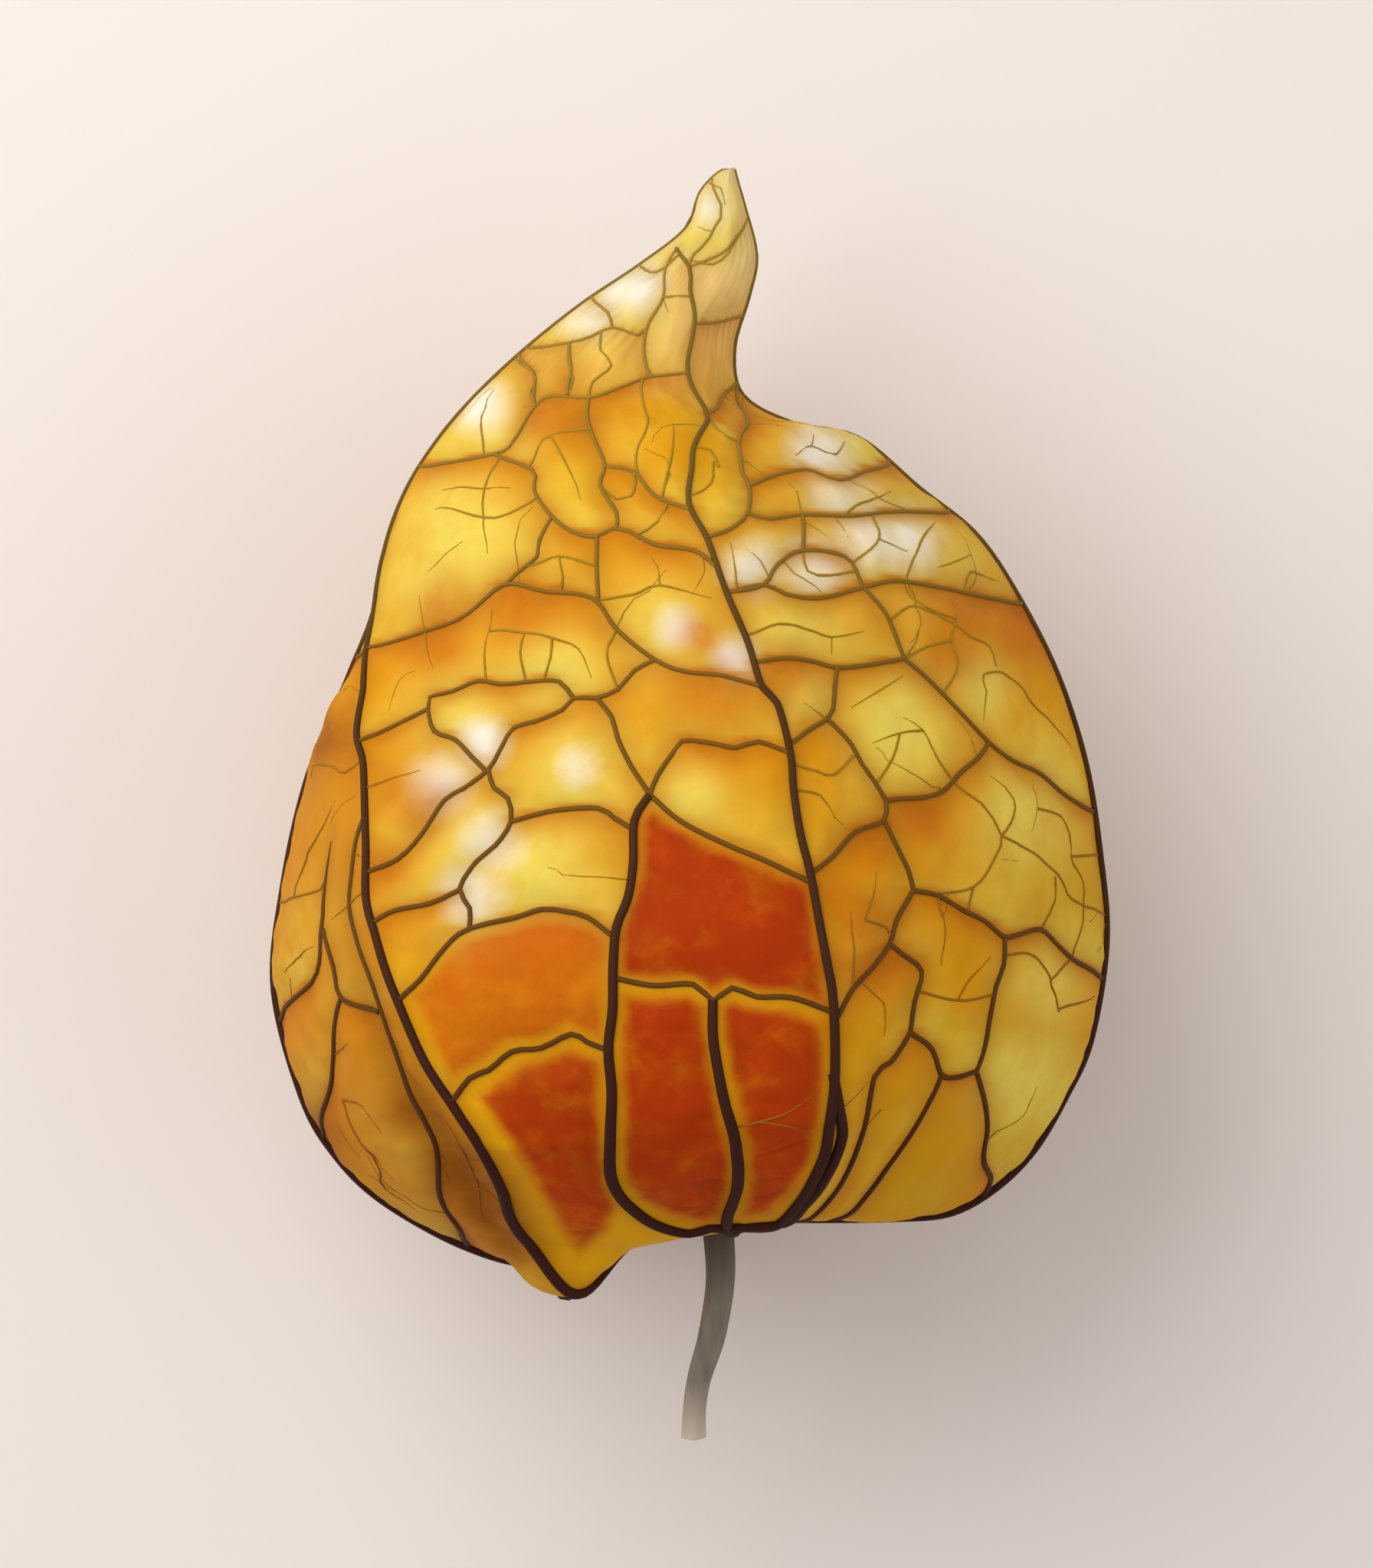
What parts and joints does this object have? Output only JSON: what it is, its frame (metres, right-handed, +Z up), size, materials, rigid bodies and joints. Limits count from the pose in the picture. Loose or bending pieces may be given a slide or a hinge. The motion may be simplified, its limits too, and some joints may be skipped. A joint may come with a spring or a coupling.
{
  "type": "physalis berry",
  "caption": "Physalis berry in its closed, five-sided papery husk with a raised net of veins, lying on its side with a short cut stem.",
  "frame": {"origin": "centre of the bounding box on the surface the husk lies on", "axes": "+Y from the stem to the hooked tip of the husk, +Z up from the surface, +X to the right of the husk seen from above with its tip away"},
  "size_m": [0.0348, 0.0519, 0.0317],
  "materials": {
    "papery_husk": "dry, thin and partly see-through",
    "berry_skin": "smooth, waxy gloss",
    "dried_stem": "dry, finely ribbed"
  },
  "bodies": {
    "root": {"husk": "papery_husk", "berry": "berry_skin", "stem": "dried_stem"}
  },
  "joints": []
}
